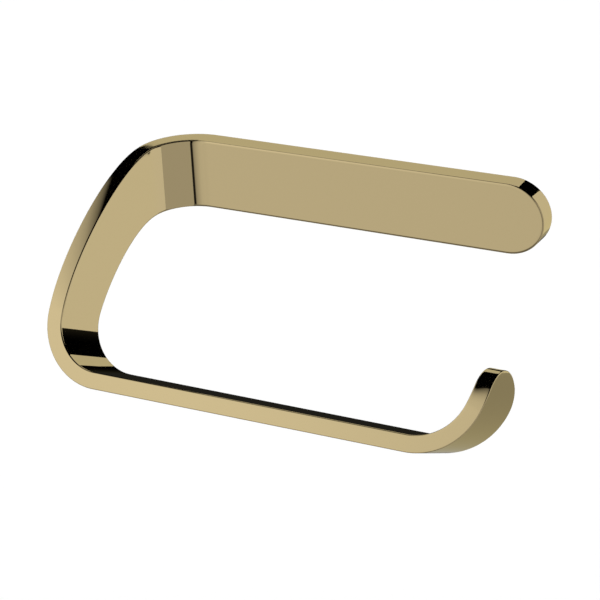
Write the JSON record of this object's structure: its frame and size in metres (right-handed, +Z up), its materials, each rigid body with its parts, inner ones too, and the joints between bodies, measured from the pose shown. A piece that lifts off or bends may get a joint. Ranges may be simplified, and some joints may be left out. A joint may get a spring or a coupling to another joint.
{
  "type": "toilet paper holder",
  "caption": "Wall-mounted toilet paper holder: a flat polished brass band bent into a wall plate, side arm, roll bar and upturned hook, hung on a concealed wall rail.",
  "frame": {"origin": "on the wall plane, midway between the two wall screws and at the plate's mid-height", "axes": "+Z up, -Y out of the wall towards the user, +X right along the plate and the roll bar"},
  "size_m": [0.1652, 0.121, 0.0693],
  "materials": {
    "polished_brass": "polished and lacquered, pale gold",
    "rail_metal": "zinc die casting, matt",
    "screw_steel": "zinc plated",
    "set_screw_steel": "stainless steel",
    "nylon": "grey moulded nylon",
    "pad_rubber": "black rubber"
  },
  "bodies": {
    "wall_rail": {"wall_rail": "rail_metal", "wall_screw_left": "screw_steel", "wall_screw_right": "screw_steel", "wall_plug_left": "nylon", "wall_plug_right": "nylon", "rail_pad_left": "pad_rubber", "rail_pad_right": "pad_rubber"},
    "holder": {"holder_band": "polished_brass"},
    "set_screw_left": {"set_screw_left": "set_screw_steel"},
    "set_screw_right": {"set_screw_right": "set_screw_steel"}
  },
  "joints": [
    {"name": "holder_lift", "type": "slide", "parent": "wall_rail", "child": "holder", "axis": [0, 0, 1], "range_m": [0, 0.003]},
    {"name": "set_screw_left_travel", "type": "slide", "parent": "holder", "child": "set_screw_left", "axis": [0, 0, -1], "range_m": [0, 0.003]},
    {"name": "set_screw_right_travel", "type": "slide", "parent": "holder", "child": "set_screw_right", "axis": [0, 0, -1], "range_m": [0, 0.003]}
  ],
  "couplings": [
    {"joint": "set_screw_left_travel", "follows": "holder_lift", "ratio": 1},
    {"joint": "set_screw_right_travel", "follows": "holder_lift", "ratio": 1}
  ]
}
